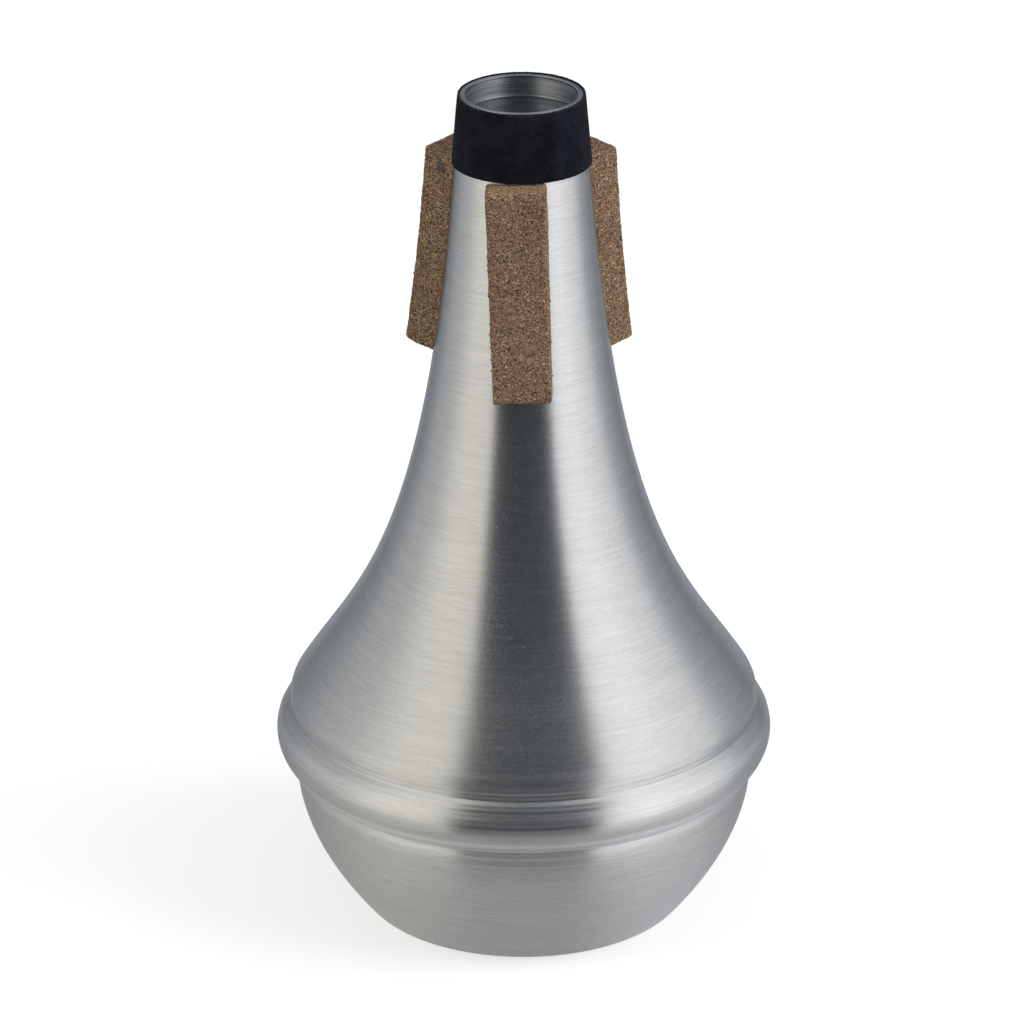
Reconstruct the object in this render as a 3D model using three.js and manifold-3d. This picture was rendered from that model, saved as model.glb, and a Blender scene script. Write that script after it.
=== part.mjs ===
import * as THREE from 'three';
import { mergeVertices } from 'three/addons/utils/BufferGeometryUtils.js';
import Module from 'manifold-3d';

const wasm = await Module();
wasm.setup();

// A straight mute for a trumpet: a spun aluminium cone and bowl, locked together in
// a rolled bead, a rubber sleeve on the neck and three cork pads that grip the bell.
// Lengths are millimetres and angles degrees. The foot stands on z = 0, the open
// mouth is at the top, and the front pad looks along -Y.

// Whole mute
const muteHeight = 179.7;
const beadDiameter = 105;
const beadLevel = 38.4; // height of the widest ring above the foot
const sheet = 0.6; // thickness of both spun shells

// Mouth and neck
const mouthDiameter = 25.2;
const neckDiameter = 27.8; // at the sleeve's lower edge
const neckLean = 4.2; // lean of the wall below the sleeve
const hemDepth = 4.1; // the sheet folded in and pressed flat inside the mouth

// Flare from the neck down to the shoulder
const flareNeckShare = 0.744; // how far the neck's lean carries, of the flare's height
const flareSkirtShare = 0.2; // how far the skirt's lean carries
const skirtLean = 32.4; // lean of the wall where the shoulder starts
const shoulderRadius = 5.6;
const collarHeight = 2; // upright wall between the shoulder and the bead

// Rolled bead and the seam inside it
const beadRoll = 6.8; // radius of the roll's section
const beadStand = 3.05; // the bead beyond the collar above it
const bowlStep = 4.1; // the bead beyond the bowl's wall below it
const seamGap = 0.2;
const flangeEnd = 50; // where the bowl's flange ends, round the roll from its widest ring

// Bowl
const footDiameter = 69.2;
const footKnuckle = 1.5;
const bowlRise = 50; // slope of the wall where it leaves the foot
const bowlFootShare = 0.415; // how far that slope carries, of the bowl's height
const bowlRimShare = 0.34; // how far the upright rim carries down
const throatHeight = 2.2; // upright wall below the flange

// Sleeve
const sleeveHeight = 14.5;
const sleeveWall = 0.4;
const sleeveGap = 0.1;

// Cork pads
const corkLength = 44;
const corkWidth = 12.3;
const corkThickness = 6.3;
const corkEdge = 0.5; // rounding of the long edges
const corkCorner = 1; // rounding of the face's upper end
const corkGap = 0.2; // glue line under a pad

// The pads are cut and glued by hand, so each has its own azimuth and leans aside by its
// own angle. Its top's height above the sleeve's lower edge and its length are shares of
// corkLength, and the rounding of its worn lower edge is a share of corkThickness
const corkPads = [
  { side: 'front', azimuth: -1.9, lean: -1.9, topShare: -0.007, lengthShare: 1.005, wearShare: 0.16 },
  { side: 'right', azimuth: 129.3, lean: -0.4, topShare: -0.005, lengthShare: 0.995, wearShare: 0.16 },
  { side: 'left', azimuth: -123.5, lean: -1.6, topShare: 0.011, lengthShare: 0.998, wearShare: 0.48 },
];

// Fineness of the facets
const turns = 60;
const flareSteps = 14;
const rollSteps = 8;
const bowlSteps = 8;
const corkSteps = 7;
const cornerSteps = 4;

const point = (r, z) => new THREE.Vector2(r, z);
const rad = THREE.MathUtils.degToRad;
const rollCentre = point(beadDiameter / 2 - beadRoll, beadLevel);
const collarRadius = beadDiameter / 2 - beadStand;
const bowlRadius = beadDiameter / 2 - bowlStep;
const sleeveFoot = muteHeight - sleeveHeight;

// Angle round the roll, from its widest ring, at which a circle of this size meets a radius
function rollAngle(circle, radius) {
  return Math.acos((radius - rollCentre.x) / circle);
}

// Points on an arc, from one angle to the other, in radians from the outward direction
function arc(centre, radius, from, to, steps) {
  return Array.from({ length: steps + 1 }, (_, i) => {
    const angle = from + (to - from) * i / steps;
    return point(centre.x + radius * Math.cos(angle), centre.y + radius * Math.sin(angle));
  });
}

// A profile moved to its left by a distance, with mitred corners
function offset(profile, distance) {
  return profile.map((here, i) => {
    const before = profile[Math.max(i - 1, 0)];
    const after = profile[Math.min(i + 1, profile.length - 1)];
    const into = here.clone().sub(before).normalize();
    const away = after.clone().sub(here).normalize();
    if (i === 0) into.copy(away);
    if (i === profile.length - 1) away.copy(into);
    const mitre = point(-into.y - away.y, into.x + away.x).normalize();
    const reach = distance / (mitre.y * into.x - mitre.x * into.y);
    return here.clone().addScaledVector(mitre, reach);
  });
}

// A profile of radius and height, spun about +Z
function spun(profile) {
  return new THREE.LatheGeometry(profile, turns).rotateX(Math.PI / 2);
}

function ring(outer, inner) {
  return spun([...outer, ...inner.reverse(), outer[0]]);
}

// Outside of the cone, from the edge rolled under the bead up to the mouth
function coneOutside() {
  const hemEnd = rollAngle(beadRoll - sheet, bowlRadius + seamGap);
  const crease = rollAngle(beadRoll, collarRadius);
  const roll = arc(rollCentre, beadRoll, -hemEnd, crease, rollSteps);

  const collarTop = roll.at(-1).y + collarHeight;
  const shoulderCentre = point(collarRadius - shoulderRadius, collarTop);
  const shoulder = arc(shoulderCentre, shoulderRadius, 0, rad(skirtLean), cornerSteps);

  const skirt = shoulder.at(-1);
  const neck = point(neckDiameter / 2, sleeveFoot);
  const rise = neck.y - skirt.y;
  const pull = (from, lean, length) =>
    point(from.x - length * Math.sin(rad(lean)), from.y + length * Math.cos(rad(lean)));
  const flare = new THREE.CubicBezierCurve(
    skirt,
    pull(skirt, skirtLean, rise * flareSkirtShare),
    pull(neck, neckLean, -rise * flareNeckShare),
    neck,
  ).getSpacedPoints(flareSteps);

  return [...roll, ...shoulder, ...flare.slice(1), point(mouthDiameter / 2, muteHeight)];
}

// The cone's outer radius at a height above the shoulder
const outside = coneOutside();
function wallRadius(z) {
  const i = outside.findLastIndex((p) => p.y <= z);
  const [low, high] = [outside[i], outside[i + 1]];
  return THREE.MathUtils.mapLinear(z, low.y, high.y, low.x, high.x);
}

function coneShell() {
  const hemFoot = muteHeight - hemDepth;
  const outer = [...outside.slice(0, -1), point(wallRadius(hemFoot), hemFoot), outside.at(-1)];
  const single = offset(outer.slice(0, -1), sheet);
  const folded = point(single.at(-1).x - sheet, single.at(-1).y);
  const lip = point(mouthDiameter / 2 - sheet - sheet, muteHeight);
  return ring(outer, [...single, folded, lip]);
}

function bowlShell() {
  const flangeRoll = beadRoll - sheet - seamGap;
  const kink = rollAngle(flangeRoll, bowlRadius);
  const flange = arc(rollCentre, flangeRoll, -kink, rad(flangeEnd), rollSteps);

  const rim = point(bowlRadius, flange[0].y - throatHeight);
  const foot = point(footDiameter / 2, 0);
  const slope = point(Math.cos(rad(bowlRise)), Math.sin(rad(bowlRise)));
  const side = new THREE.CubicBezierCurve(
    foot,
    foot.clone().addScaledVector(slope, rim.y * bowlFootShare),
    point(rim.x, rim.y - rim.y * bowlRimShare),
    rim,
  ).getSpacedPoints(bowlSteps);

  const tangent = footKnuckle * Math.tan(rad(bowlRise) / 2);
  const knuckleCentre = point(foot.x - tangent, footKnuckle);
  const knuckle = arc(knuckleCentre, footKnuckle, -Math.PI / 2, rad(bowlRise) - Math.PI / 2, cornerSteps);

  const outer = [point(0, 0), ...knuckle, ...side.slice(1), ...flange];
  return spun([...outer, ...offset(outer, sheet).reverse()]);
}

function neckSleeve() {
  const metal = [point(wallRadius(sleeveFoot), sleeveFoot), outside.at(-1)];
  const level = (distance) => metal.map((p) => point(p.x + distance, p.y));
  return ring(level(sleeveGap + sleeveWall), level(sleeveGap));
}

function toSolid(geometry) {
  const bare = geometry.clone();
  bare.deleteAttribute('normal');
  bare.deleteAttribute('uv');
  const merged = mergeVertices(bare);
  return new wasm.Manifold(new wasm.Mesh({
    numProp: 3,
    vertProperties: merged.attributes.position.array,
    triVerts: new Uint32Array(merged.index.array),
  }));
}

function toGeometry(solid) {
  const mesh = solid.getMesh();
  const geometry = new THREE.BufferGeometry();
  geometry.setAttribute('position', new THREE.BufferAttribute(mesh.vertProperties, 3));
  geometry.setIndex(new THREE.BufferAttribute(mesh.triVerts, 1));
  geometry.computeVertexNormals();
  return geometry;
}

// A strip's outline in the plane of the wall's profile, from its foot to its top: its
// face follows the wall, and its back is deep enough to be cut away by the wall
function stripOutline(wall, wear) {
  const face = offset(wall, -corkThickness);
  const back = offset(wall, corkWidth / 2);
  const toward = (from, to, length) => to.clone().sub(from).setLength(length).add(from);
  const foot = face[0];
  const top = face.at(-1);
  const footStart = toward(foot, back[0], wear);
  const footEnd = toward(foot, face[1], wear);
  const topStart = toward(top, face.at(-2), corkCorner);
  const topEnd = toward(top, back.at(-1), corkCorner);

  const shape = new THREE.Shape();
  shape.moveTo(back[0].x, back[0].y);
  shape.lineTo(footStart.x, footStart.y);
  shape.quadraticCurveTo(foot.x, foot.y, footEnd.x, footEnd.y);
  for (const p of face.slice(1, -1)) shape.lineTo(p.x, p.y);
  shape.lineTo(topStart.x, topStart.y);
  shape.quadraticCurveTo(top.x, top.y, topEnd.x, topEnd.y);
  shape.lineTo(back.at(-1).x, back.at(-1).y);
  return shape;
}

// What the back of a pad is cut to: the wall and, above it, the sleeve's lower edge
function padSeat() {
  const step = sleeveFoot - corkGap;
  const wall = outside.filter((p) => p.y > outside[rollSteps].y && p.y < step);
  const level = (z, distance) => point(wallRadius(z) + distance, z);
  const sleeve = sleeveGap + sleeveWall + corkGap;
  return spun([
    point(0, wall[0].y),
    ...wall.map((p) => point(p.x + corkGap, p.y)),
    level(step, corkGap),
    level(step, sleeve),
    level(muteHeight - hemDepth, sleeve),
    point(0, muteHeight - hemDepth),
  ]);
}

// A pad as it lies at the front, with its face along -Y
function corkPad({ lean, topShare, lengthShare, wearShare }) {
  const top = sleeveFoot + corkLength * topShare;
  const length = corkLength * lengthShare;
  const heights = Array.from({ length: corkSteps + 1 }, (_, i) => top - length * (1 - i / corkSteps));
  const wall = heights.map((z) => point(wallRadius(z), z));
  const strip = new THREE.ExtrudeGeometry(stripOutline(wall, corkThickness * wearShare), {
    depth: corkWidth - corkEdge - corkEdge,
    bevelSize: corkEdge,
    bevelThickness: corkEdge,
    bevelOffset: -corkEdge,
    bevelSegments: cornerSteps,
    curveSegments: cornerSteps,
  });
  strip.translate(0, 0, corkEdge - corkWidth / 2);
  const outward = new THREE.Vector3(0, -1, 0);
  const up = new THREE.Vector3(0, 0, 1);
  strip.applyMatrix4(new THREE.Matrix4().makeBasis(outward, up, outward.clone().cross(up)));
  const middle = top - length / 2;
  strip.translate(0, 0, -middle).rotateY(rad(lean)).translate(0, 0, middle);
  return toGeometry(toSolid(strip).subtract(toSolid(padSeat())));
}

const aluminium = () => new THREE.MeshStandardMaterial({ color: 0xc8c9ca, roughness: 0.32, metalness: 1 });
const rubber = () => new THREE.MeshStandardMaterial({ color: 0x1b1d22, roughness: 0.85, metalness: 0 });
const cork = () => new THREE.MeshStandardMaterial({ color: 0x7a624c, roughness: 0.9, metalness: 0 });

function piece(name, geometry, material) {
  const mesh = new THREE.Mesh(geometry, material);
  mesh.name = name;
  return mesh;
}

const mute = new THREE.Group();
mute.add(
  piece('cone_shell', coneShell(), aluminium()),
  piece('bowl_shell', bowlShell(), aluminium()),
  piece('neck_sleeve', neckSleeve(), rubber()),
);
for (const place of corkPads) {
  const pad = piece(`cork_pad_${place.side}`, corkPad(place), cork());
  pad.rotation.z = rad(place.azimuth);
  mute.add(pad);
}

export default mute;
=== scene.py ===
import math
import random

import bpy
from mathutils import Euler, Matrix, Vector
from mathutils.geometry import interpolate_bezier


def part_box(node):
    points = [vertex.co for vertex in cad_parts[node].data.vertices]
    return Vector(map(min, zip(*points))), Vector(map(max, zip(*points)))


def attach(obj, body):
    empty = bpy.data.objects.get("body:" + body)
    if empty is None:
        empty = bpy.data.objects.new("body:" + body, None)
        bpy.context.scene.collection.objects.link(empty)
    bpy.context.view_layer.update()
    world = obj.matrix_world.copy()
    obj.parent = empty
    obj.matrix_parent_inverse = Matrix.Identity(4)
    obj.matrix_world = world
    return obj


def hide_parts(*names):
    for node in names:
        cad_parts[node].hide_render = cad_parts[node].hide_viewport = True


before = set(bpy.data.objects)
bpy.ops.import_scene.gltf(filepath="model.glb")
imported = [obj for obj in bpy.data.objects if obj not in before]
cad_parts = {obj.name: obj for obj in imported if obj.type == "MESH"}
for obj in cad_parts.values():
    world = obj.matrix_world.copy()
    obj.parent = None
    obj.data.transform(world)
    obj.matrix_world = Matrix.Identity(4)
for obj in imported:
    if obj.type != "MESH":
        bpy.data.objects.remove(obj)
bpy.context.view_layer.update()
mm = 0.001
print("frame loaded, nodes:", ", ".join(sorted(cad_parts)))


# Camera

cameraSet = {
    "place": (-2.3, -1015.7, 532.5),  # in millimetres
    "pitch": 23.68,  # degrees below the horizon
    "roll": -0.25,
    "lens": 186.15,
    "sensor": 36,
}


def placeCamera():
    bpy.ops.object.camera_add(location=Vector(cameraSet["place"]) * mm)
    camera = bpy.context.object
    camera.name = "camera"
    tilt = Euler((math.radians(90 - cameraSet["pitch"]), 0, 0)).to_matrix()
    roll = Matrix.Rotation(math.radians(cameraSet["roll"]), 3, "Z")
    camera.rotation_euler = (tilt @ roll).to_euler()
    camera.data.lens = cameraSet["lens"]
    camera.data.sensor_width = cameraSet["sensor"]
    bpy.context.scene.camera = camera


placeCamera()
bpy.context.scene.view_settings.view_transform = "Standard"
print("camera placed")


# Shader nodes written as sums

class Wire:
    # one output socket; the usual operators on it add Math nodes
    def __init__(self, maker, socket):
        self.maker = maker
        self.socket = socket

    def math(self, operation, *others):
        terms = dict(enumerate((self, *others)))
        return self.maker.node("ShaderNodeMath", {"operation": operation}, terms)

    def __add__(self, other):
        return self.math("ADD", other)

    def __radd__(self, other):
        return self.math("ADD", other)

    def __sub__(self, other):
        return self.math("SUBTRACT", other)

    def __rsub__(self, other):
        return (self * -1).math("ADD", other)

    def __mul__(self, other):
        return self.math("MULTIPLY", other)

    def __rmul__(self, other):
        return self.math("MULTIPLY", other)

    def __truediv__(self, other):
        return self.math("DIVIDE", other)

    def __pow__(self, other):
        return self.math("POWER", other)

    def output(self, name):
        return Wire(self.maker, self.socket.node.outputs[name])

    def between(self, low, high):
        # 0 below low, 1 above high, smooth between them
        settings = {"interpolation_type": "SMOOTHSTEP"}
        values = {"Value": self, "From Min": low, "From Max": high}
        return self.maker.node("ShaderNodeMapRange", settings, values)


class Maker:
    # adds nodes to one tree: a type, its settings, then its values or wires
    def __init__(self, tree):
        self.tree = tree
        tree.nodes.clear()

    def node(self, kind, settings=None, values=None, output=0):
        made = self.tree.nodes.new(kind)
        for name, setting in (settings or {}).items():
            if name == "stops":
                self.setStops(made.color_ramp, setting)
            else:
                setattr(made, name, setting)
        for name, value in (values or {}).items():
            if isinstance(value, Wire):
                self.tree.links.new(value.socket, made.inputs[name])
            else:
                made.inputs[name].default_value = value
        return Wire(self, made.outputs[output]) if made.outputs else made

    def setStops(self, ramp, stops):
        ramp.interpolation = "EASE"
        while len(ramp.elements) < len(stops):
            ramp.elements.new(1)
        for element, (position, colour) in zip(ramp.elements, stops):
            element.position = position
            element.color = (*colour, 1)

    def ramp(self, value, stops):
        return self.node("ShaderNodeValToRGB", {"stops": stops}, {0: value})

    def mixColour(self, share, first, second, how="MIX"):
        colours = {6: first, 7: second}
        for slot, colour in colours.items():
            if not isinstance(colour, Wire):
                colours[slot] = (*colour, 1)
        settings = {"data_type": "RGBA", "blend_type": how}
        return self.node("ShaderNodeMix", settings, {0: share, **colours}, 2)

    def position(self):
        return self.node("ShaderNodeTexCoord", output="Object")

    def noise(self, place, size, detail=2, **more):
        # size is the width of one swell, in metres
        settings = {"noise_dimensions": "4D" if "W" in more else "3D"}
        values = {"Vector": place, "Scale": 1 / size, "Detail": detail, **more}
        return self.node("ShaderNodeTexNoise", settings, values)


def newMaterial(name):
    material = bpy.data.materials.new(name)
    material.use_nodes = True
    return material, Maker(material.node_tree)


# Mesh work shared by the pieces

meshSet = {
    "touching": 0.001,  # points closer than this, in millimetres, are merged
    "sharp": 40,  # edges that turn by more degrees than this are shaded sharp
    "steps": 192,  # facets round a turned piece
}


def only(piece):
    bpy.ops.object.select_all(action="DESELECT")
    piece.select_set(True)
    bpy.context.view_layer.objects.active = piece


def applied(piece, kind, **settings):
    only(piece)
    modifier = piece.modifiers.new(kind.lower(), kind)
    for name, setting in settings.items():
        setattr(modifier, name, setting)
    bpy.ops.object.modifier_apply(modifier=modifier.name)


def drawOutline(name, points):
    # a small plane merged to one point, then extruded from point to point, in millimetres
    start = points[0] * mm
    bpy.ops.object.select_all(action="DESELECT")
    bpy.ops.mesh.primitive_plane_add(size=mm, location=start)
    piece = bpy.context.object
    piece.name = name
    piece.data.name = name
    bpy.ops.object.transform_apply(location=True)
    bpy.ops.object.mode_set(mode="EDIT")
    bpy.ops.mesh.select_all(action="SELECT")
    bpy.ops.mesh.merge(type="CENTER")
    for before, after in zip(points, points[1:]):
        step = {"value": (after - before) * mm}
        bpy.ops.mesh.extrude_region_move(TRANSFORM_OT_translate=step)
    return piece


def mergePoints():
    bpy.ops.mesh.select_all(action="SELECT")
    bpy.ops.mesh.remove_doubles(threshold=meshSet["touching"] * mm)


def closeMesh():
    mergePoints()
    bpy.ops.mesh.normals_make_consistent(inside=False)
    bpy.ops.object.mode_set(mode="OBJECT")


def spinRound(name, outline, steps):
    # outline holds radius and height; it closes on itself or ends on the axis
    piece = drawOutline(name, [Vector((p.x, 0, p.y)) for p in outline])
    bpy.ops.mesh.select_all(action="SELECT")
    bpy.ops.mesh.spin(steps=steps, angle=math.tau, center=(0, 0, 0), axis=(0, 0, 1))
    closeMesh()
    return piece


def turned(name, outline, steps=meshSet["steps"]):
    piece = spinRound(name, outline, steps)
    bpy.ops.object.shade_smooth_by_angle(angle=math.radians(meshSet["sharp"]))
    return piece


def arc(centre, radius, start, end, steps):
    # angles in degrees, from the outward direction
    turns = [math.radians(start + (end - start) * i / steps) for i in range(steps + 1)]
    return [centre + radius * Vector((math.cos(a), math.sin(a))) for a in turns]


def offset(outline, distance):
    # moved to the left of the way the outline runs, with mitred corners
    moved = []
    for i, here in enumerate(outline):
        into = (here - outline[i - 1]).normalized() if i else None
        away = (outline[i + 1] - here).normalized() if i + 1 < len(outline) else into
        into = into or away
        mitre = Vector((-into.y - away.y, into.x + away.x)).normalized()
        moved.append(here + mitre * distance / (mitre.y * into.x - mitre.x * into.y))
    return moved


def spaced(outline, gap):
    # the same line with points no further apart than gap
    points = [outline[0]]
    for before, after in zip(outline, outline[1:]):
        count = max(1, math.ceil((after - before).length / gap))
        points += [before.lerp(after, i / count) for i in range(1, count + 1)]
    return points


def ridged(outline, ridges):
    # low ridges and grooves that the turning tool left: level, width and height
    moved = []
    for here, outward in zip(outline, offset(outline, -1)):
        rise = 0
        for level, width, height in ridges:
            rise += height * math.exp(-((here.y - level) / width) ** 2)
        moved.append(here + (outward - here).normalized() * rise)
    return moved


def finishPiece(piece, node, slot, *materials):
    piece.data.materials.clear()
    for material in materials:
        piece.data.materials.append(material)
    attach(piece, "root")
    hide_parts(node)
    print("made", piece.name, "with", len(piece.data.polygons), "faces")


# Spun aluminium

metalLook = {
    "edgeTint": (0.8, 0.82, 0.85),
    "outside": {
        "colour": (0.58, 0.58, 0.58), "roughness": 0.14, "lengthwise": 0.85,
        "lineDepth": 0.0055, "lineShade": 0.3,
        # heights where the tool left another finish and where light is painted on: from, to and
        # softness in millimetres, then how much rougher, lighter by painted light (darker by
        # painted shade) and finer grained
        "bands": [
            # painted light on the bowl's top and the bead's underside, painted shade round the
            # bead's middle
            (29.8, 32.2, 0.6, 0, 0.16, 0),
            (32.2, 35.0, 0.5, 0, 0.36, 0),
            (36.0, 38.6, 0.5, 0, -0.06, 0),
            # painted highlights along the bead and its crease, and a little painted light on the
            # collar
            (39.6, 40.7, 0.2, 0.06, 0.12, 0.6),
            (40.7, 42.0, 0.25, 0.1, 0.2, 0.6),
            (42.0, 43.4, 0.25, 0, 0.06, 1.8),
            (43.5, 44.5, 0.15, 0, 0.06, 1),
            (46.2, 49.6, 0.5, 0.06, 0.03, 0),
            # painted shade on the lip's flat top
            (179.45, 181, 0.04, 0, -0.34, 0),
        ],
        "haze": 0.014, "dust": 0.02,
    },
    "inside": {
        "colour": (0.47, 0.49, 0.515), "roughness": 0.27, "lengthwise": 0.86,
        "lineDepth": 0.016, "lineShade": 1.5,
        "bands": [
            # painted light on the inner wall below the hem, a painted dark reflection at the
            # hem's top, painted shade on the lip
            (100, 174.9, 0.15, 0, 0.38, 0),
            (179.05, 179.45, 0.05, 0, -0.6, 0),
            (179.45, 181, 0.04, 0, -0.32, 0),
        ],
        "haze": 0, "dust": 0.03,
    },
    # width and length of the turning lines, in millimetres
    "grain": (0.23, 0.29),
    "scratch": (0.19, 3.5),
    "pass": (0.45, 11),
    "band": (2.4, 60),
    "grainFloor": 0.43,  # flat ground shows between the grains below this
    # width of smears, specks and dust in millimetres, and how much of their noise shows
    "smear": 14,
    "speck": (0.42, 0.68, 0.74),
    "dust": (0.28, 0.48, 0.64),
    # how much each of them lightens the metal, stands up and roughens it
    "shades": {"plain": 0.505, "scratch": 0.34, "band": 0.1, "grain": 0.5, "speck": 0.1},
    "heights": {"scratch": 0.75, "pass": 1.2, "band": 2, "grain": 2.2},
    "roughens": {"smear": 0.05, "speck": 0.25, "grain": 0.28},
}


def spunAluminium(name, look):
    # "lengthwise" is how much further reflections smear across the turning lines, "lineShade"
    # how much the tool's passes shade the metal, and "roughness" that of its smoothest spots.
    # "haze" makes the metal less mirror-like all over, and "dust" only where dust lies
    material, maker = newMaterial(name)
    place = maker.position()
    parts = maker.node("ShaderNodeSeparateXYZ", values={0: place})
    x, y, z = parts, parts.output("Y"), parts.output("Z")
    radius = (x * x + y * y) ** 0.5

    def lines(width, length):
        # noise drawn out round the axis, and quick along the profile
        along = {"X": x / (length * mm), "Y": y / (length * mm), "Z": z / (width * mm)}
        vector = maker.node("ShaderNodeCombineXYZ", values=along)
        return maker.noise(vector, size=1, W=radius / (width * mm))

    def spots(width, low, high):
        return maker.noise(place, width * mm, detail=1).between(low, high)

    grain = lines(*metalLook["grain"]).math("MAXIMUM", metalLook["grainFloor"])
    scratch = lines(*metalLook["scratch"])
    toolPass = lines(*metalLook["pass"])
    band = lines(*metalLook["band"])
    smear = maker.noise(place, metalLook["smear"] * mm, detail=3)
    speck = spots(*metalLook["speck"])
    dust = spots(*metalLook["dust"])

    shades, heights, roughens = metalLook["shades"], metalLook["heights"], metalLook["roughens"]
    shade = shades["plain"] + look["lineShade"] * (toolPass - 0.5) + shades["scratch"] * scratch
    shade = shade + shades["band"] * band + shades["grain"] * grain + shades["speck"] * speck
    roughness = look["roughness"] + roughens["smear"] * smear
    roughness = roughness + roughens["speck"] * speck + roughens["grain"] * grain
    finer = 0
    # each band's lightening is painted light, or painted shade where below 0, in the metal's
    # colour
    for low, high, soft, rougher, paintedLight, calmer in look["bands"]:
        edges = [z.between((level - soft) * mm, (level + soft) * mm) for level in (low, high)]
        here = edges[0] - edges[1]
        roughness = roughness + rougher * here
        shade = shade + paintedLight * here
        finer = finer + calmer * here
    grey = maker.node("ShaderNodeCombineColor", values={0: shade, 1: shade, 2: shade})
    colour = maker.mixColour(1, look["colour"], grey, "MULTIPLY")
    relief = heights["scratch"] * scratch + heights["pass"] * toolPass + heights["band"] * band
    relief = relief + (heights["grain"] - finer) * grain
    bump = {"Height": relief, "Distance": look["lineDepth"] * mm, "Strength": 1}
    surface = {
        "Base Color": colour,
        "Metallic": 1 - look["haze"] - look["dust"] * dust,
        "Roughness": roughness,
        "Anisotropic": look["lengthwise"],
        "Anisotropic Rotation": 0.25,  # a quarter turn, across the lines
        "Specular Tint": (*metalLook["edgeTint"], 1),
        "Normal": maker.node("ShaderNodeBump", values=bump),
    }
    shader = maker.node("ShaderNodeBsdfPrincipled", values=surface)
    maker.node("ShaderNodeOutputMaterial", values={0: shader})
    return material


aluminium = spunAluminium("spunAluminium", metalLook["outside"])
bareInside = spunAluminium("bareInside", metalLook["inside"])
print("aluminium ready")


# Cone: rolled bead, collar, shoulder, flare, neck and the hem folded into the mouth

coneSize = {
    # lengths in millimetres, leans in degrees
    "height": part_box("cone_shell")[1].z / mm - 0.15,  # the metal ends a little below the rubber
    "beadRadius": 52.5,
    "beadLevel": 38.4,
    "rollRadius": 6.8,
    "seamRadius": 48.44,  # the roll's edge is burnished down on the bowl here
    "seamFillet": 0.8,
    "collarRadius": 49.45,
    "creaseRadius": 0.45,
    "collarTop": 46.07,
    "shoulderRadius": 5.6,
    "skirtLean": 32.4,
    "neckRadius": 13.9,
    "neckFoot": 165.2,
    "neckLean": 4.2,
    "skirtPull": 0.2,
    "neckPull": 0.744,
    "mouthRadius": 12.6,
    "sheet": 0.6,
    "hemDepth": 4.65,
    # the hem's curled edge: up from its foot and in towards the axis
    "hemEdge": [(0.9, 0), (0.45, 0.14), (0.15, 0.28), (0, 0.168), (-0.08, -0.3)],
    "lipRadius": 0.25,
    "flareSteps": 64,
    "pointGap": 0.16,  # between the points that the ridges move
    "ridges": [
        (49.3, 0.3, -0.02),
        (47.3, 0.3, 0.02),
        (46.5, 0.2, -0.02),
        (45.9, 0.2, 0.025),
        (45.3, 0.2, -0.02),
        (44.9, 0.15, 0.02),
        (43.35, 0.14, 0.025),
        (42.95, 0.14, -0.02),
        (42.55, 0.14, 0.02),
        (42.1, 0.14, -0.02),
        (41.4, 0.14, -0.045),
        (40.8, 0.16, 0.04),
        (40.2, 0.16, -0.02),
        (39.5, 0.2, -0.025),
        (38.9, 0.2, 0.02),
    ],
}


def besideRoll(wallRadius, fillet):
    # a hollow between the roll and an upright wall: the roll's centre, the step from there to
    # the hollow's centre, and that step's angle above level
    size = coneSize
    roll = Vector((size["beadRadius"] - size["rollRadius"], size["beadLevel"]))
    reach = size["rollRadius"] + fillet
    aside = wallRadius + fillet - roll.x
    step = Vector((aside, math.sqrt(reach ** 2 - aside ** 2)))
    return roll, step, math.degrees(math.acos(aside / reach))


def seamLip():
    size = coneSize
    roll, step, angle = besideRoll(size["seamRadius"], size["seamFillet"])
    centre = roll + Vector((step.x, -step.y))
    return arc(centre, size["seamFillet"], 180, 180 - angle, steps=6)


def coneOutside():
    size = coneSize
    crease = size["creaseRadius"]
    start = -besideRoll(size["seamRadius"], size["seamFillet"])[2]
    roll, step, creaseAngle = besideRoll(size["collarRadius"], crease)
    bead = arc(roll, size["rollRadius"], start, creaseAngle, steps=44)
    hollow = arc(roll + step, crease, creaseAngle + 180, 180, steps=8)
    shoulderCentre = Vector((size["collarRadius"] - size["shoulderRadius"], size["collarTop"]))
    shoulder = arc(shoulderCentre, size["shoulderRadius"], 0, size["skirtLean"], steps=10)

    skirt = shoulder[-1]
    neck = Vector((size["neckRadius"], size["neckFoot"]))
    rise = neck.y - skirt.y

    def pulled(point, lean, length):
        turn = math.radians(lean)
        return point + length * Vector((-math.sin(turn), math.cos(turn)))

    flare = interpolate_bezier(
        skirt,
        pulled(skirt, size["skirtLean"], rise * size["skirtPull"]),
        pulled(neck, size["neckLean"], -rise * size["neckPull"]),
        neck,
        size["flareSteps"],
    )
    worked = ridged(spaced(bead + hollow[1:] + shoulder, size["pointGap"]), size["ridges"])
    return worked + [p.copy() for p in flare[1:]]


def lipCorner(corner, radius, start):
    # a quarter round that ends on the two lines through the corner
    turn = math.radians(start + 45)
    centre = corner - radius * math.sqrt(2) * Vector((math.cos(turn), math.sin(turn)))
    return arc(centre, radius, start, start + 90, steps=5)


coneProfile = coneOutside()


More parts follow.
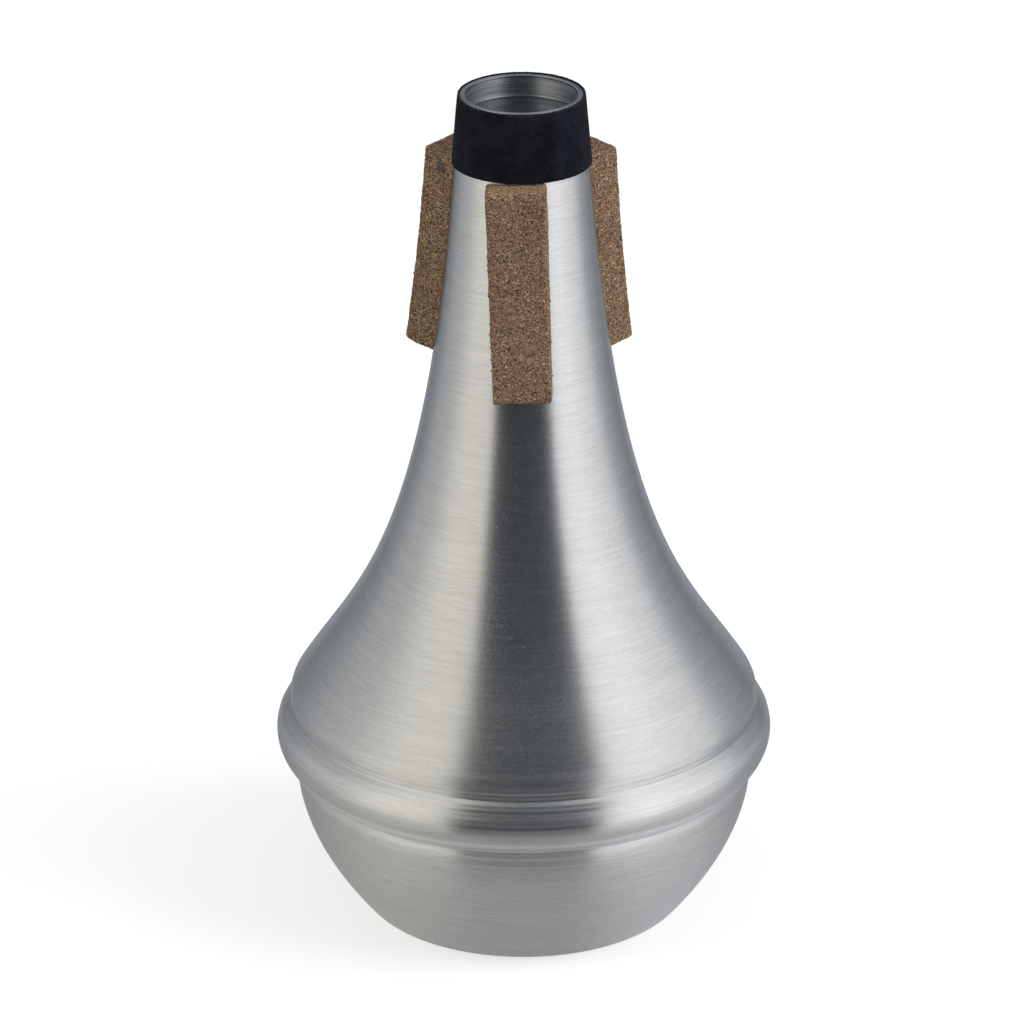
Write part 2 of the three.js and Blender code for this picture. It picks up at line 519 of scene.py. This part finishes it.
def makeCone():
    size = coneSize
    top = Vector((size["mouthRadius"], size["height"]))
    slope = (top - coneProfile[-1]).normalized()
    hemFoot = top - slope * size["hemDepth"]
    outer = coneProfile + [hemFoot]
    inner = offset(outer, size["sheet"])
    inwards = Vector((-1, 0))
    lip = lipCorner(top, size["lipRadius"], 0)
    innerLip = lipCorner(top + inwards * 2 * size["sheet"], size["lipRadius"], 90)
    hemWall = inner[-1] + inwards * size["sheet"]
    hem = [hemWall + slope * rise + inwards * reach for rise, reach in size["hemEdge"]]
    outline = seamLip() + outer[1:] + lip + innerLip + hem + inner[::-1]
    outline.append(outline[0])
    cone = turned("cone", outline)
    finishPiece(cone, "cone_shell", "aluminium", aluminium, bareInside)
    # what faces the axis, up or down is the sheet's bare inside
    leastOutward = 0.001 * mm
    for face in cone.data.polygons:
        outward = face.normal.x * face.center.x + face.normal.y * face.center.y
        face.material_index = 1 if outward < leastOutward else 0


makeCone()


# Bowl: flat foot, knuckle, round side, and the flange locked in the bead

bowlSize = {
    "footRadius": 34.6,
    "knuckle": 1.5,
    "rise": 50,  # degrees
    "footPull": 0.415,
    "rimPull": 0.34,
    "rimRadius": 48.4,
    "rimLevel": 30.84,
    "flangeEnd": 50,
    "seam": 0.02,  # between the flange and the bead's inside
    "sheet": 0.6,
    "sideSteps": 48,
    "pointGap": 0.3,
    "ridges": [
        (30.4, 0.2, 0.02),
        (29.6, 0.15, -0.015),
        (28.5, 0.2, 0.03),
        (27.9, 0.2, -0.02),
        (25.1, 0.25, 0.015),
        (2.4, 0.3, 0.03),
    ],
}


def makeBowl():
    size = bowlSize
    rise = math.radians(size["rise"])
    foot = Vector((size["footRadius"], 0))
    rim = Vector((size["rimRadius"], size["rimLevel"]))
    out = foot + rim.y * size["footPull"] * Vector((math.cos(rise), math.sin(rise)))
    down = rim - Vector((0, rim.y * size["rimPull"]))
    side = [p.copy() for p in interpolate_bezier(foot, out, down, rim, size["sideSteps"])]
    tangent = size["knuckle"] * math.tan(rise / 2)
    knuckleCentre = Vector((foot.x - tangent, size["knuckle"]))
    knuckle = arc(knuckleCentre, size["knuckle"], -90, size["rise"] - 90, steps=8)
    side = [p for p in side if p.y > knuckle[-1].y]

    rollCentre = Vector((coneSize["beadRadius"] - coneSize["rollRadius"], coneSize["beadLevel"]))
    flangeRadius = coneSize["rollRadius"] - size["sheet"] - size["seam"]
    start = -math.degrees(math.acos((size["rimRadius"] - rollCentre.x) / flangeRadius))
    flange = arc(rollCentre, flangeRadius, start, size["flangeEnd"], steps=16)
    side = ridged(spaced(side, size["pointGap"]), size["ridges"])
    outer = [Vector((0, 0))] + knuckle + side + flange
    outline = outer + offset(outer, size["sheet"])[::-1]
    bowl = turned("bowl", outline)
    finishPiece(bowl, "bowl_shell", "aluminium", aluminium)


makeBowl()


# Neck sleeve

sleeveSize = {
    "wall": 0.42,
    "gap": 0.04,
    "edge": 0.12,
    "fuzz": (0.4, 0.14),  # width and height
    "aboveLip": 0.08,
    "uneven": (0.05, 0.14),  # how much higher its upper edge stands to the right and behind
    "unevenDepth": 2,  # what lies further below the edge is level
    "sideSteps": 48,
    "steps": 320,
}
rubberLook = {
    "grain": 0.27,  # widths in millimetres
    "cloud": 5,
    "grainShare": 0.6,
    "blacks": [(0.3, (0.0008, 0.001, 0.0018)), (0.7, (0.0105, 0.0115, 0.018))],
    # the rubbed upper edge: how deep, its patches as width and what of their noise shows
    "wornDepth": 0.8,
    "wornPatches": (0.3, 0.54, 0.68),
    "wornShare": 0.45,
    "wornColour": (0.16, 0.16, 0.165),
    "relief": 0.06,
    "roughness": 0.78,
    "grainRoughness": 0.15,
    "gloss": 0.08,
}


def blackRubber():
    look = rubberLook
    material, maker = newMaterial("blackRubber")
    place = maker.position()
    grain = maker.noise(place, look["grain"] * mm)
    cloud = maker.noise(place, look["cloud"] * mm)
    cloud = (1 - look["grainShare"]) * cloud + look["grainShare"] * grain
    height = maker.node("ShaderNodeSeparateXYZ", values={0: place}).output("Z")
    top = (coneSize["height"] + sleeveSize["aboveLip"]) * mm
    width, low, high = look["wornPatches"]
    worn = maker.noise(place, width * mm, detail=3).between(low, high)
    worn = worn * height.between(top - look["wornDepth"] * mm, top)
    colour = maker.ramp(cloud, look["blacks"])
    colour = maker.mixColour(worn * look["wornShare"], colour, look["wornColour"])
    bump = {"Height": grain, "Distance": look["relief"] * mm, "Strength": 1}
    surface = {
        "Base Color": colour,
        "Roughness": look["roughness"] + look["grainRoughness"] * grain,
        "Specular IOR Level": look["gloss"],
        "Normal": maker.node("ShaderNodeBump", values=bump),
    }
    shader = maker.node("ShaderNodeBsdfPrincipled", values=surface)
    maker.node("ShaderNodeOutputMaterial", values={0: shader})
    return material


def makeSleeve():
    foot = Vector((coneSize["neckRadius"], coneSize["neckFoot"]))
    top = Vector((coneSize["mouthRadius"], coneSize["height"]))
    top = top + (top - foot).normalized() * sleeveSize["aboveLip"]
    inner = [p + Vector((sleeveSize["gap"], 0)) for p in (foot, top)]
    outer = [p + Vector((sleeveSize["wall"], 0)) for p in inner]
    edge = sleeveSize["edge"]
    steps = sleeveSize["sideSteps"]
    side = [outer[0].lerp(outer[1], i / steps) for i in range(1, steps)]
    footCorner = lipCorner(outer[0], edge, -90)
    topCorner = lipCorner(outer[1], edge, 0)
    outline = [inner[0]] + footCorner + side + topCorner + [inner[1], inner[0]]
    sleeve = turned("sleeve", outline, sleeveSize["steps"])
    for vertex in sleeve.data.vertices:
        share = min(max((vertex.co.z / mm - top.y) / sleeveSize["unevenDepth"] + 1, 0), 1)
        toSide = Vector(sleeveSize["uneven"]).dot(vertex.co.xy.normalized())
        vertex.co.z += share * toSide * mm
    fuzz = bpy.data.textures.new("fuzz", "CLOUDS")
    width, height = sleeveSize["fuzz"]
    fuzz.noise_scale = width * mm
    applied(sleeve, "DISPLACE", texture=fuzz, strength=height * mm, mid_level=0.5)
    finishPiece(sleeve, "neck_sleeve", "rubber", blackRubber())


makeSleeve()


# Cork pads

corkSize = {
    "width": 12.3,
    "thickness": 6.3,
    "edge": 0.5,
    "sharp": 60,  # only corners that turn by more degrees are rounded
    "crownWear": (0.9, 0.9),
    "fullness": 0.66,  # how far a worn corner still reaches into the sharp one
    "cornerSteps": 6,
    "steps": 20,
    "glue": 0.12,
    "seatFoot": 60,
    "voxel": 0.21,
    # crumbs left along the edges of the face
    "crumbs": 60,
    "crumbRadius": (0.16, 0.34),
    "crumbDepth": 0.15,  # how deep in the side they sit at most
    "crumbScatter": 1.1,
    "crumbReach": (0.1, 0.8),  # in from the face: least, and most as a share of the thickness
    # width and depth of the hand-cut face's waves and of the granules
    "relief": {"handCut": (6, 0.3), "granules": (0.55, 0.34)},
}
corkPlaces = [
    # node, azimuth and lean in degrees, top over the sleeve's foot, length, how far the lower
    # corner is worn along the foot and up the face, and the width at the foot, in millimetres
    ("cork_pad_front", -1.9, -1.9, -0.3, 44.2, (1.0, 1.0), 11.8),
    ("cork_pad_right", 129.3, -0.4, -0.2, 43.8, (1.0, 1.0), 12.3),
    ("cork_pad_left", -123.5, -1.6, 0.5, 43.9, (3.2, 1.3), 12.3),
]
corkLook = {
    # widths in millimetres
    "granule": 0.58,
    "smallGranule": 0.24,
    "speckle": 0.22,
    "warp": (0.7, 0.5),  # width of the swells that bend the granules' edges, and how far
    # how much each of them lightens the browns
    "tones": {"plain": -0.285, "granule": 0.3, "smallGranule": 0.43, "speckle": 0.86},
    "browns": [
        (0.08, (0.062, 0.035, 0.02)),
        (0.36, (0.215, 0.132, 0.077)),
        (0.62, (0.32, 0.207, 0.125)),
        (0.92, (0.53, 0.37, 0.234)),
    ],
    "reddish": {"patches": (7, 0.4, 0.65), "share": 0.3, "colour": (0.19, 0.102, 0.062)},
    "pits": {"patches": (0.4, 0.585, 0.645), "share": 0.78},
    "seams": {"edge": (0.02, 0.1), "share": 0.28},
    "darkest": 0.95,
    "darkColour": (0.022, 0.011, 0.008),
    # a stain on the left pad's upper end: its middle, how far its edge strays and where it fades
    "stain": {
        "place": (-16.9, 3.8, 162.4), "strays": 0.5, "fades": (1.25, 1.65),
        "share": 0.85, "colour": (0.115, 0.094, 0.073),
    },
    # how much each of them stands up
    "heights": {"granule": 0.5, "pits": 1.5, "speckle": 0.6},
    "seamSlope": 0.2,
    "relief": 0.2,
    "roughness": 0.92,
    "granuleGloss": 0.1,
    "gloss": 0.2,
}


def compositionCork():
    look = corkLook
    material, maker = newMaterial("compositionCork")
    place = maker.position()
    warpWidth, warpReach = look["warp"]

    def vector(operation, values, output=0):
        return maker.node("ShaderNodeVectorMath", {"operation": operation}, values, output)

    def cells(width, feature="F1"):
        values = {"Vector": bent, "Scale": 1 / (width * mm)}
        return maker.node("ShaderNodeTexVoronoi", {"feature": feature}, values)

    def cellTone(width):
        return maker.node("ShaderNodeSeparateColor", values={0: cells(width).output("Color")})

    def patches(where, width, low, high):
        return maker.noise(where, width * mm).between(low, high)

    warp = maker.noise(place, warpWidth * mm).output("Color")
    bent = vector("ADD", {0: place, 1: vector("SCALE", {0: warp, "Scale": warpReach * mm})})
    edges = cells(look["granule"], "DISTANCE_TO_EDGE")
    granule = cellTone(look["granule"])
    smallGranule = cellTone(look["smallGranule"])
    speckle = maker.noise(place, look["speckle"] * mm)

    tones = look["tones"]
    tone = tones["granule"] * granule + tones["smallGranule"] * smallGranule
    tone = tone + tones["speckle"] * speckle + tones["plain"]
    colour = maker.ramp(tone, look["browns"])
    reddish = patches(place, *look["reddish"]["patches"]) * look["reddish"]["share"]
    colour = maker.mixColour(reddish, colour, look["reddish"]["colour"])

    stainSet = look["stain"]
    stain = vector("DISTANCE", {0: place, 1: Vector(stainSet["place"]) * mm}, "Value")
    stain = stain + stainSet["strays"] * mm * speckle
    stain = 1 - stain.between(*(edge * mm for edge in stainSet["fades"]))
    colour = maker.mixColour(stain * stainSet["share"], colour, stainSet["colour"])

    pits = patches(bent, *look["pits"]["patches"])
    seams = 1 - edges.between(*look["seams"]["edge"])
    dark = pits * look["pits"]["share"] + seams * look["seams"]["share"]
    colour = maker.mixColour(dark.math("MINIMUM", look["darkest"]), colour, look["darkColour"])

    heights = look["heights"]
    height = granule * heights["granule"] + edges.between(0, look["seamSlope"])
    height = height - pits * heights["pits"] + speckle * heights["speckle"]
    bump = {"Height": height, "Distance": look["relief"] * mm, "Strength": 1}
    surface = {
        "Base Color": colour,
        "Roughness": look["roughness"] - look["granuleGloss"] * granule,
        "Specular IOR Level": look["gloss"],
        "Normal": maker.node("ShaderNodeBump", values=bump),
    }
    shader = maker.node("ShaderNodeBsdfPrincipled", values=surface)
    maker.node("ShaderNodeOutputMaterial", values={0: shader})
    return material


cork = compositionCork()


def coneRadius(height):
    after = next(i for i, p in enumerate(coneProfile) if p.y > height)
    low, high = coneProfile[after - 1], coneProfile[after]
    return low.x + (high.x - low.x) * (height - low.y) / (high.y - low.y)


def towards(start, end, length):
    return start + (end - start).normalized() * length


def rounded(before, corner, after, reach):
    # a soft corner between two sides, drawn as a curve from reach before it to reach after it
    start, end = towards(corner, before, reach[0]), towards(corner, after, reach[1])
    pulls = [point.lerp(corner, corkSize["fullness"]) for point in (start, end)]
    return [p.copy() for p in interpolate_bezier(start, *pulls, end, corkSize["cornerSteps"])]


def makeSeat():
    # the cone's outside and the sleeve's edge, as a solid that the pads' backs are cut by
    glue = corkSize["glue"]
    step = coneSize["neckFoot"]
    foot = corkSize["seatFoot"]
    wall = [p + Vector((glue, 0)) for p in coneProfile if foot < p.y < step - glue]
    sleeve = sleeveSize["gap"] + sleeveSize["wall"] + glue
    ledge = coneRadius(step - glue)
    collar = [Vector((ledge + glue, step - glue)), Vector((ledge + sleeve, step - glue))]
    top = coneSize["height"]
    lid = [Vector((ledge + sleeve, top)), Vector((0, top))]
    return turned("padSeat", [Vector((0, wall[0].y))] + wall + collar + lid, steps=128)


def makePad(node, azimuth, lean, above, length, wear, footWidth, seat):
    size = corkSize
    top = coneSize["neckFoot"] + above
    steps = size["steps"]
    levels = [top - length * (1 - i / steps) for i in range(steps + 1)]
    wall = [Vector((coneRadius(min(z, coneSize["neckFoot"])), z)) for z in levels]
    face = offset(wall, -size["thickness"])
    back = offset(wall, size["width"] / 2)
    foot = rounded(back[0], face[0], face[1], wear)
    crown = rounded(face[-2], face[-1], back[-1], size["crownWear"])
    outline = [back[0]] + foot + face[2:-1] + crown + [back[-1], back[0]]

    # drawn on the pad's left side, filled and pulled out to its width
    half = size["width"] / 2
    pad = drawOutline(node.replace("_pad", ""), [Vector((-half, -p.x, p.y)) for p in outline])
    mergePoints()
    bpy.ops.mesh.edge_face_add()
    across = {"value": (size["width"] * mm, 0, 0)}
    bpy.ops.mesh.extrude_region_move(TRANSFORM_OT_translate=across)
    closeMesh()
    sharp = math.radians(size["sharp"])
    applied(pad, "BEVEL", width=size["edge"] * mm, segments=3, angle_limit=sharp)

    middle = top - length / 2
    for vertex in pad.data.vertices:
        share = (top - vertex.co.z / mm) / length
        vertex.co.x *= 1 + (footWidth / size["width"] - 1) * min(max(share, 0), 1)
    addCrumbs(pad, face, node)
    centre = Matrix.Translation((0, 0, middle * mm))
    tilt = Matrix.Rotation(math.radians(lean), 4, "Y")
    turn = Matrix.Rotation(math.radians(azimuth), 4, "Z")
    pad.data.transform(turn @ centre @ tilt @ centre.inverted())
    applied(pad, "BOOLEAN", operation="DIFFERENCE", object=seat, solver="EXACT")
    applied(pad, "REMESH", mode="VOXEL", voxel_size=size["voxel"] * mm)
    roughen(pad)
    finishPiece(pad, node, "cork", cork)


def addCrumbs(pad, face, node):
    # grains left standing along the two long edges of the face
    draw = random.Random(node)
    crumbs = []
    size = corkSize
    half = size["width"] / 2
    scatter = size["crumbScatter"]
    least, share = size["crumbReach"]
    for _ in range(size["crumbs"]):
        spot = face[draw.randrange(2, len(face) - 1)]
        side = draw.choice((-1, 1)) * (half - draw.uniform(0, size["crumbDepth"]))
        inward = draw.uniform(least, size["thickness"] * share)
        place = Vector((side, -spot.x + inward, spot.y + draw.uniform(-scatter, scatter)))
        bpy.ops.object.select_all(action="DESELECT")
        radius = draw.uniform(*size["crumbRadius"]) * mm
        bpy.ops.mesh.primitive_ico_sphere_add(subdivisions=2, radius=radius, location=place * mm)
        crumbs.append(bpy.context.object)
    only(pad)
    for crumb in crumbs:
        crumb.select_set(True)
    bpy.ops.object.join()


def roughen(pad):
    # a hand-cut face that isn't quite flat, and the granules' own relief
    for name, (width, depth) in corkSize["relief"].items():
        texture = bpy.data.textures.new(name, "CLOUDS")
        texture.noise_scale = width * mm
        applied(pad, "DISPLACE", texture=texture, strength=depth * mm, mid_level=0.5)
    bpy.ops.object.shade_smooth()


def makePads():
    seat = makeSeat()
    for place in corkPlaces:
        makePad(*place, seat)
    bpy.data.objects.remove(seat)


makePads()


# Stage: pale floor, even light, and what the metal mirrors

stageSet = {
    # sizes and distances in metres
    "floorSize": 12,
    "floorColour": (0.36, 0.36, 0.36),
    "floorGlow": 0.6,
    "ambient": 0.66,
    "lampAzimuth": 75,
    "lampDistance": 1.6,
    "lampHeight": 1.1,
    "lampSize": 1.4,
    # side, power and colour of each lamp
    "lamps": {"left": (-1, 21, (1, 0.98, 0.94)), "right": (1, 43, (0.97, 0.98, 1))},
}


def seenByEye(maker):
    # 1 for what the camera, a mirror or a window shows
    path = maker.node("ShaderNodeLightPath")
    mirrored = path.output("Is Glossy Ray").math("MAXIMUM", path.output("Is Transmission Ray"))
    return mirrored.math("MAXIMUM", path.output("Is Camera Ray"))


def makeFloor():
    bpy.ops.object.select_all(action="DESELECT")
    bpy.ops.mesh.primitive_plane_add(size=stageSet["floorSize"])
    floor = bpy.context.object
    floor.name = "floor"
    material, maker = newMaterial("paleFloor")
    matt = maker.node("ShaderNodeBsdfDiffuse", values={0: (*stageSet["floorColour"], 1)})
    glow = {0: (1, 1, 1, 1), "Strength": seenByEye(maker) * stageSet["floorGlow"]}
    glow = maker.node("ShaderNodeEmission", values=glow)
    shader = maker.node("ShaderNodeAddShader", values={0: matt, 1: glow})
    maker.node("ShaderNodeOutputMaterial", values={0: shader})
    floor.data.materials.append(material)


def makeWorld():
    world = bpy.data.worlds.new("studio")
    bpy.context.scene.world = world
    world.use_nodes = True
    maker = Maker(world.node_tree)
    seen = seenByEye(maker)
    strength = seen + (1 - seen) * stageSet["ambient"]
    light = maker.node("ShaderNodeBackground", values={0: (1, 1, 1, 1), "Strength": strength})
    maker.node("ShaderNodeOutputWorld", values={0: light})


def makeLamps():
    for name, (side, power, colour) in stageSet["lamps"].items():
        turn = math.radians(stageSet["lampAzimuth"]) * side
        flat = Vector((math.sin(turn), -math.cos(turn), 0)) * stageSet["lampDistance"]
        place = flat + Vector((0, 0, stageSet["lampHeight"]))
        bpy.ops.object.light_add(type="AREA", location=place)
        lamp = bpy.context.object
        lamp.name = name + "Lamp"
        lamp.data.size = stageSet["lampSize"]
        lamp.data.energy = power
        lamp.data.color = colour
        lamp.rotation_euler = (-place).to_track_quat("-Z", "Y").to_euler()
        lamp.visible_camera = False
        lamp.visible_glossy = False  # the tent below is what the metal mirrors


# What the metal mirrors and nothing else does: a table top, the sweep round it, and a tent.
# Each is a ring of light levels: azimuth in degrees from the front, towards +X, level and tint

brightest = 1.6
tints = {
    "warm": (1, 0.978, 0.895),
    "cool": (0.972, 0.984, 1),
    "dim": (0.88, 0.94, 1),
    "dark": (0.7, 0.82, 1),
}
tentSet = {
    "radius": 1800,  # sizes in millimetres
    "height": 2500,
    "foot": 0.05,  # just above the floor
    "steps": 128,
    "widening": 0.14,  # how far the dark front widens to the right, for each metre up
    "levels": [
        (-180, 0.58, "dim"),
        (-162, 0.46, "dim"),
        (-153, 0.24, "dim"),
        (-146, 0.36, "dim"),
        (-105, 0.62, "cool"),
        (-64, 1.06, "warm"),
        (-38, 1.02, "warm"),
        (-30, 0.064, "dark"),
        (30, 0.068, "dark"),
        (38, 1.3, "cool"),
        (56, 1.4, "cool"),
        (85, 1.12, "cool"),
        (120, 0.47, "dim"),
        (138, 0.36, "dim"),
        (144, 0.22, "dim"),
        (152, 0.44, "dim"),
        (180, 0.58, "dim"),
    ],
}
sweepSet = {
    "nearby": 31,  # how far towards the object its levels draw together
    "edge": (74, 160),  # where it takes over from the table top
    "behind": 0.6,  # how much further off that is behind the object
    "levels": [
        (-180, 0.6, "dim"),
        (-164, 0.46, "dim"),
        (-156, 0.24, "dim"),
        (-148, 0.36, "dim"),
        (-105, 0.62, "cool"),
        (-64, 1.06, "warm"),
        (-38, 1.02, "warm"),
        (-30, 0.056, "dark"),
        (30, 0.06, "dark"),
        (38, 1.3, "cool"),
        (56, 1.4, "cool"),
        (85, 1.12, "cool"),
        (120, 0.47, "dim"),
        (142, 0.36, "dim"),
        (149, 0.22, "dim"),
        (157, 0.44, "dim"),
        (180, 0.6, "dim"),
    ],
    "tableLevels": [
        (-180, 0.56, "dim"),
        (-120, 0.48, "cool"),
        (-55, 0.62, "warm"),
        (-10, 0.52, "cool"),
        (10, 0.52, "cool"),
        (55, 0.74, "cool"),
        (120, 0.5, "cool"),
        (180, 0.56, "dim"),
    ],
}
roofSet = {
    "levels": [
        (-180, 0.5, "dim"),
        (-120, 0.8, "cool"),
        (-60, 1.2, "warm"),
        (-32, 0.2, "dim"),
        (32, 0.2, "dim"),
        (60, 1.5, "cool"),
        (120, 0.8, "cool"),
        (180, 0.5, "dim"),
    ],
}


def mirroredOnly(name, corners, card):
    piece = spinRound(name, [Vector(corner) for corner in corners], tentSet["steps"])
    material, maker = newMaterial(name + "Light")
    parts = maker.node("ShaderNodeSeparateXYZ", values={0: maker.position()})
    x, y, z = parts, parts.output("Y"), parts.output("Z")
    azimuth = x.math("ARCTAN2", y * -1)
    azimuth = azimuth.math("MINIMUM", azimuth / (1 + tentSet["widening"] * z))

    def ring(facing, levels):
        # facing is the angle from the front, in radians
        stops = [((angle + 180) / 360, [c * level / brightest for c in tints[tint]])
                 for angle, level, tint in levels]
        return maker.ramp(facing / math.tau + 0.5, stops)

    if "nearby" in card:
        radius = (x * x + y * y) ** 0.5
        sweep = ring(azimuth * (1 + radius ** -1 * card["nearby"] * mm), card["levels"])
        reach = radius - card["behind"] * y.math("MAXIMUM", 0)
        share = reach.between(*(edge * mm for edge in card["edge"]))
        light = maker.mixColour(share, ring(azimuth, card["tableLevels"]), sweep)
    else:
        light = ring(azimuth, card["levels"])
    shader = maker.node("ShaderNodeEmission", values={0: light, "Strength": brightest})
    maker.node("ShaderNodeOutputMaterial", values={0: shader})
    piece.data.materials.append(material)
    piece.visible_camera = False
    piece.visible_diffuse = False
    piece.visible_transmission = False
    piece.visible_shadow = False


def makeMirrored():
    wall, top, foot = tentSet["radius"], tentSet["height"], tentSet["foot"]
    mirroredOnly("sweep", [(0, foot), (wall, foot)], sweepSet)
    mirroredOnly("tentWall", [(wall, foot), (wall, top)], tentSet)
    mirroredOnly("tentRoof", [(wall, top), (0, top)], roofSet)


makeFloor()
makeWorld()
makeLamps()
makeMirrored()
print("stage set")
